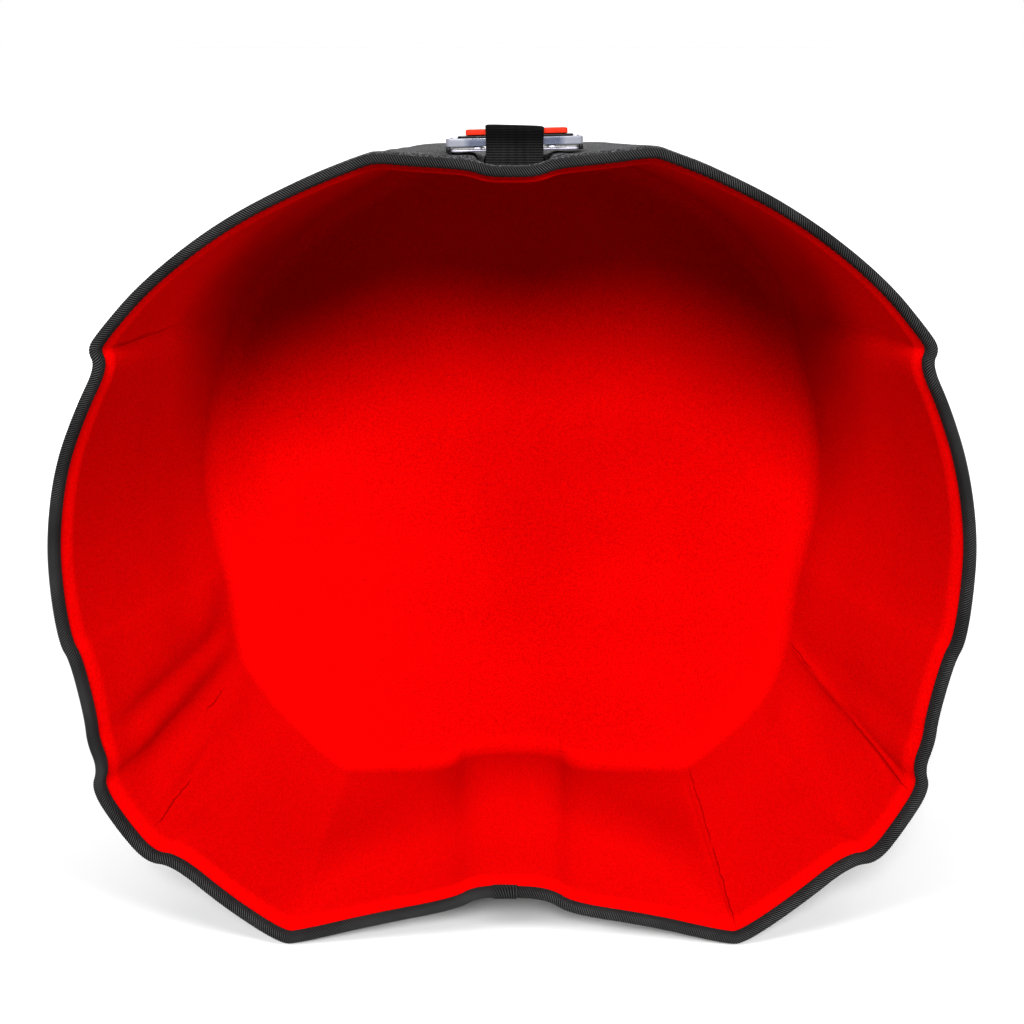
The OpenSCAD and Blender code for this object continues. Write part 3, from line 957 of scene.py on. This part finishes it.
# %% section of the tape
tape_out = np.array([
    (4.95, -0.30), (4.7, -0.58), (3.9, -0.62), (3.4, -0.42), (2.8, -0.62), (1.2, -0.66),
    (0.1, -0.50), (-0.55, 0.10), (-0.80, 0.9), (-0.82, 1.9), (-0.60, 2.7), (0.0, 3.25),
    (1.1, 3.42), (2.8, 3.40), (3.4, 3.22), (4.2, 3.40), (4.75, 3.12)])
tape_in = np.array([(4.6, 2.85), (0.05, 2.8), (0.05, 0.0), (4.6, -0.02)])
section, OUT = np.vstack([tape_out, tape_in]), len(tape_out)
span = arc_length(tape_out)
across_in = np.interp(np.arange(4), [0, 3], [span[-1] / 2, -span[-1] / 2])
across = np.concatenate([span - span.mean(), across_in])
ahead, behind = np.roll(tape_out, -1, 0), np.roll(tape_out, 1, 0)
out_n = unit(np.stack([-(ahead - behind)[:, 1], (ahead - behind)[:, 0]], -1))
out_n[0], out_n[-1] = (0.9, -0.4), (0.9, 0.4)
if (out_n * (tape_out - (2, 1.4))).sum() < 0:
    out_n = -out_n
in_n = np.array([(0.0, 1.0), (-0.7, 0.7), (-0.7, -0.7), (0.0, -1.0)])
print("tape seen across", round(float(span[-1]), 1), "mm")

# %% [markdown]
# To make the twill's slanting ribs real, each column of the grid is drawn along a rib: the
# further across the tape, the further along it the point lies. Four columns make a rib.
# The first centimetre is lifted, because there the free end lies on the start of the tape.

# %% twill tape
FREE_END, START_UNDER = 32.355, 97.03   # outline places, once round and 0.67 on
RIB, RIB_COLS = 1.08, 4                 # rib pitch along the tape, mm, and its columns
RIB_UP, SLANT = 0.11, 0.62              # rib height, mm, and mm along for each mm across
LAP_UP, LAP_LONG, LAP_EASE = 0.52, 10.3, 1.6
f_fine = np.linspace(FREE_END, START_UNDER, 20001)
along = arc_length(wall_at(f_fine, 0.0, 1.0, 0.0))
ribs = int(along[-1] / RIB)
cols = np.arange(ribs * RIB_COLS + 1)


def lap_rise(s):
    """How far the tape is lifted at distance s from its free end: LAP_UP, eased to 0."""
    return LAP_UP * (1 - ease((s - LAP_LONG) / LAP_EASE))


where = cols * along[-1] / cols[-1]
slant = SLANT * np.clip(np.minimum(where, along[-1] - where) / 9.0, 0, 1)
place = np.clip(where[:, None] + slant[:, None] * across[None, :], 0, along[-1])
place[[0, -1]] = np.array([[0.0], [along[-1]]])
place[0, :OUT] += 0.07 * (across[:OUT] - across.min())
lap = lap_rise(place)
relief = RIB_UP * np.array([-1.0, 0.35, 1.0, 0.35])[cols % RIB_COLS]
dt = np.repeat(section[None], len(cols), 0)
dt[:, :OUT] += (relief[:, None] + lap[:, :OUT])[..., None] * out_n
dt[:, OUT:] += 0.45 * lap[:, OUT:, None] * in_n
tape_P = wall_at(np.interp(place, along, f_fine), dt[..., 0], dt[..., 1], 0.0)
tape_u = np.repeat(cols[:, None] * RIB / RIB_COLS / 1000, len(section) + 1, 1)
tape_v = np.broadcast_to(np.append(across, across[0]), tape_u.shape) / 1000
binding = grid_piece("twill_binding", on_floor(tape_P), "case", u=tape_u,
                     v=tape_v, fan=(True, True), closed=True)
binding.data.materials.append(tape_mat)
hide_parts("rim_binding")
print("tape length mm", round(along[-1]), "ribs", ribs)

# %% [markdown]
# ## Stitches
# One lockstitch row holds the tape on: a stitch every 3 mm, each dipping into the tape at
# both ends. A stitch is a short bent tube with tapered ends. All stitches of one side are
# one piece.

# %% stitch rows
STITCH_EVERY, STITCH_HALF, STITCH_AT, THREAD_R = 3.0, 1.28, 3.4, 0.24


def stitch_row(name, t_face, t_in, node_name):
    """Copies of one bent tube. Along it a goes -1..1: it rises (1 - a^4) from the tape and
    its radius shrinks by 0.8 a^4; around it the section is a circle."""
    centres = np.arange(1.5, along[-1] - 9.0, STITCH_EVERY) + 6.0
    a = np.linspace(-1, 1, 7)
    w = np.linspace(0, 2 * np.pi, 7)[:-1]
    s = centres[:, None] + a[None] * STITCH_HALF
    f = np.interp(s, along, f_fine)
    rad = THREAD_R * (1 - 0.8 * a ** 4)
    rise = 0.22 * (1 - a ** 4) - 0.16
    sign = 1 if t_face > t_in else -1
    t = t_face + sign * (rise[None] + lap_rise(s))
    tt = t[..., None] + sign * (rad[None, :, None] * np.sin(w))
    dd = STITCH_AT + rad[None, :, None] * np.cos(w) + np.zeros_like(tt)
    P = wall_at(np.broadcast_to(f[..., None], tt.shape), dd, tt, 0.0)
    obj = grid_piece(name, on_floor(P), "case", u=np.linspace(0, 0.0015, 7),
                     v=np.linspace(0, 0.0026, 7), fan=(True, True), closed=True)
    obj.data.materials.append(thread_mat)
    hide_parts(node_name)
    return obj


stitch_row("needle_stitches", 3.42, 2.8, "binding_needle_thread")
stitch_row("bobbin_stitches", -0.62, 0.0, "binding_bobbin_thread")

# %% [markdown]
# ## Elastic loop
# The elastic comes up out of a slit in the foam behind the label, goes over it and down
# into a second slit in front. Its cords run across the band, so it is ribbed from edge to
# edge.

# %% path of the elastic
LOOP_X, LOOP_FRONT, LOOP_REAR, LOOP_TOP, BAND = 1.1, 13.6, 48.4, 362.9, 1.1
LEG_END = 344.5                              # under the fabric, in its slit


def loop_path(n=520, corner=2.4):
    """The middle line of the band as (depth, height): up the back leg, a rounded corner,
    over the top, a rounded corner, and down the front leg. Returned evenly spaced."""
    y0, y1, z1 = LOOP_FRONT + BAND / 2, LOOP_REAR - BAND / 2, LOOP_TOP - BAND / 2
    q = np.linspace(0, np.pi / 2, 12)
    up = np.stack([np.full(8, y1), np.linspace(LEG_END, z1 - corner, 8)], -1)
    c1 = np.stack([y1 - corner + corner * np.cos(q), z1 - corner + corner * np.sin(q)], -1)
    c2 = np.stack([y0 + corner - corner * np.sin(q), z1 - corner + corner * np.cos(q)], -1)
    top_y = np.linspace(y1 - corner, y0 + corner, 12)[1:-1]
    top = np.stack([top_y, np.full(10, z1)], -1)
    down = np.stack([np.full(8, y0), np.linspace(z1 - corner, LEG_END, 8)], -1)
    line = np.vstack([up[:-1], c1, top, c2, down[1:]])
    s = arc_length(line)
    t = np.linspace(0, s[-1], n)
    return np.stack([np.interp(t, s, line[:, i]) for i in (0, 1)], -1), t


path, s_path = loop_path()
print("elastic length mm", round(s_path[-1], 1))

# %% [markdown]
# The section is a flat oval with rounded edges, carried along the path. Pulled tight over
# the label the band gets narrower, and behind it stays a little wider. Its top slopes
# to the right with the label, and each cord shows as a rib.

# %% elastic
HALF_BAND, CORD, CORD_UP, SLOPE = 12.3, 0.68, 0.11, 0.035
tangent = np.gradient(path, axis=0)
normal = unit(np.stack([tangent[:, 1], -tangent[:, 0]], -1))
if normal[0, 0] < 0:
    normal = -normal
around = np.linspace(0, 2 * np.pi, 41)[:-1]
wide, thick = np.cos(around), np.sin(around)
wide = np.sign(wide) * np.abs(wide) ** 0.35
thick = np.sign(thick) * np.abs(thick) ** 0.55
slack = ease((352 - path[:, 1]) / 5) * (path[:, 0] > 40)
pinch = 0.25 * np.sin(np.clip((path[:, 1] - 347) / 15, 0, 1) * np.pi)
half_w = HALF_BAND + 1.1 * slack - pinch
rib_h = -CORD_UP * np.cos(2 * np.pi * s_path / CORD)
flat_top = ease((path[:, 1] - 358.5) / 3.5)
half_t = (BAND / 2 - 0.1) - 0.06 * flat_top
x = LOOP_X + half_w[:, None] * wide[None]
edge_fade = np.clip(1.25 - np.abs(wide), 0, 1)[None] ** 0.3
reach = half_t[:, None] * thick[None] + rib_h[:, None] * thick[None] * edge_fade
yz = path[:, None] + normal[:, None] * reach[..., None]
sink = flat_top[:, None] * (SLOPE * (x - LOOP_X + HALF_BAND)) * 0.78
band_P = np.stack([x, yz[..., 0], yz[..., 1] - sink], -1)
elastic = grid_piece("ribbed_elastic", on_floor(band_P), "case",
                     u=np.linspace(0, 0.0508, len(around) + 1), v=s_path / 1000,
                     fan=(True, True), closed=True)
elastic.data.materials.append(elastic_mat)
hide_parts("elastic_loop")

# %% [markdown]
# ## Label parts
# These are small flat mouldings. Each is made from rounded rectangles stacked in z: an
# inset and a height for each ring. A solid bar closes over its top, and a tray turns in
# and goes down into its pocket.

# %% where the label lies
TILT = math.radians(1.45)
LABEL_AT, LABEL_UP = 15.0, 352.15       # its front edge and its underside, mm


def on_label(p):
    """Label millimetres to the frame: tilt about the depth axis, move up, lean back."""
    x, y, z = p[..., 0], p[..., 1], p[..., 2]
    q = np.stack([x * math.cos(TILT) - z * math.sin(TILT) + LOOP_X, y + LABEL_AT,
                  x * math.sin(TILT) + z * math.cos(TILT) + LABEL_UP], -1)
    return on_floor(q)


print("label tilted by", round(math.degrees(TILT), 2), "degrees")

# %% rounded bars


def rounded_outline(x0, x1, y0, y1, r, n=6):
    """A rectangle with quarter-circle corners, as (4 n, 2) points anticlockwise."""
    q = np.linspace(0, np.pi / 2, n)
    cx, cy = np.array([x1, x0, x0, x1]), np.array([y1, y1, y0, y0])
    sx, sy = np.array([-1, 1, 1, -1]), np.array([-1, -1, 1, 1])
    a = q[None] + np.arange(4)[:, None] * np.pi / 2
    px = (cx + sx * r)[:, None] + r * np.cos(a)
    py = (cy + sy * r)[:, None] + r * np.sin(a)
    return np.stack([px, py], -1).reshape(-1, 2)


def stacked(x0, x1, y0, y1, rings, corner):
    """Rings of (inset, height) on a rounded rectangle."""
    out = []
    for inset, z in rings:
        r = max(corner - inset, 0.12)
        o = rounded_outline(x0 + inset, x1 - inset, y0 + inset, y1 - inset, r)
        out.append(np.column_stack([o, np.full(len(o), z)]))
    return np.array(out)


def edge_rings(z0, z1, e):
    """A bar's rings: flat bottom, rounded lower edge, side, rounded upper edge."""
    q = np.linspace(0, np.pi / 2, 5)
    low = [(e * (1 - math.sin(a)), z0 + e * (1 - math.cos(a))) for a in q]
    high = [(e * (1 - math.cos(a)), z1 - e * (1 - math.sin(a))) for a in q]
    return [(e + 0.4, z0)] + low + high + [(e + 0.4, z1)]


def bar(name, x0, x1, y0, y1, z0, z1, corner, e, slot, mat, body="label", replaces=None):
    """A solid bar between two corners in label millimetres, its edges rounded by e."""
    obj = grid_piece(name, on_label(stacked(x0, x1, y0, y1, edge_rings(z0, z1, e), corner)),
                     body, fan=(True, True), closed=True)
    obj.data.materials.append(mat)
    if replaces:
        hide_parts(replaces)
    return obj


print("rounded corner points", len(rounded_outline(0, 1, 0, 1, 0.2)))

# %% [markdown]
# The clear base lies on the banks of the groove. Two white pegs keep the case up off it,
# and a black clip closes each end of the gap between them.

# %% base, pegs and end clips
bar("clear_base", -27.1, 27.1, 0.4, 31.6, 0.0, 0.75, 3.0, 0.3, "clear_plastic", base_mat,
    replaces="label_base")
for side, x in (("left", -15.7), ("right", 15.7)):
    bar(f"white_peg_{side}", x - 1.7, x + 1.7, 1.0, 17.5, 0.77, 2.03, 1.0, 0.45,
        "white_plastic", white_mat, replaces=f"label_rivet_{side}")
for side, x0, x1 in (("left", -28.8, -27.1), ("right", 27.1, 28.8)):
    bar(f"end_clip_{side}", x0, x1, 0.2, 31.8, -0.13, 2.03, 0.5, 0.35, "black_plastic",
        black_mat, replaces=f"label_clip_{side}")

# %% [markdown]
# The case is a shallow tray. Its rings go up the outside, over the rim and down inside to
# the floor of the pocket, where two black ribs stand.

# %% clear case and its ribs
Z0, Z1 = 2.05, 5.55                     # underside and rim of the case, mm
tray_rings = edge_rings(Z0, Z1, 0.3)[:-1] + [
    (0.5, Z1), (1.0, Z1 - 0.05), (1.1, Z1 - 0.2), (1.15, Z0 + 1.3), (1.35, Z0 + 1.0),
    (1.8, Z0 + 0.9)]
tray = grid_piece("clear_case", on_label(stacked(-28.8, 28.8, 0, 32, tray_rings, 1.6)),
                  "label", fan=(True, True), closed=True)
tray.data.materials.append(clear_mat)
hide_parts("label_case")
for side, x in (("left", -20.3), ("right", 19.9)):
    bar(f"case_rib_{side}", x, x + 1.8, 1.12, 30.88, Z0 + 0.92, Z1 - 0.02, 0.3, 0.2,
        "black_plastic", black_mat)

# %% [markdown]
# A glossy black film covers the case, and the orange plate lies over it, under the top of
# the elastic. The plate is a body of its own, because it can be slid out.

# %% film and plate
bar("black_film", -23.8, 24.8, 0.0, 32.0, 5.50, 6.40, 1.5, 0.2, "black_plastic", black_mat,
    replaces="label_film")
bar("orange_insert", -20.4, 22.4, 0.6, 31.4, 6.72, 8.9, 0.8, 0.28, "orange_plastic",
    orange_mat, body="plate", replaces="orange_plate")
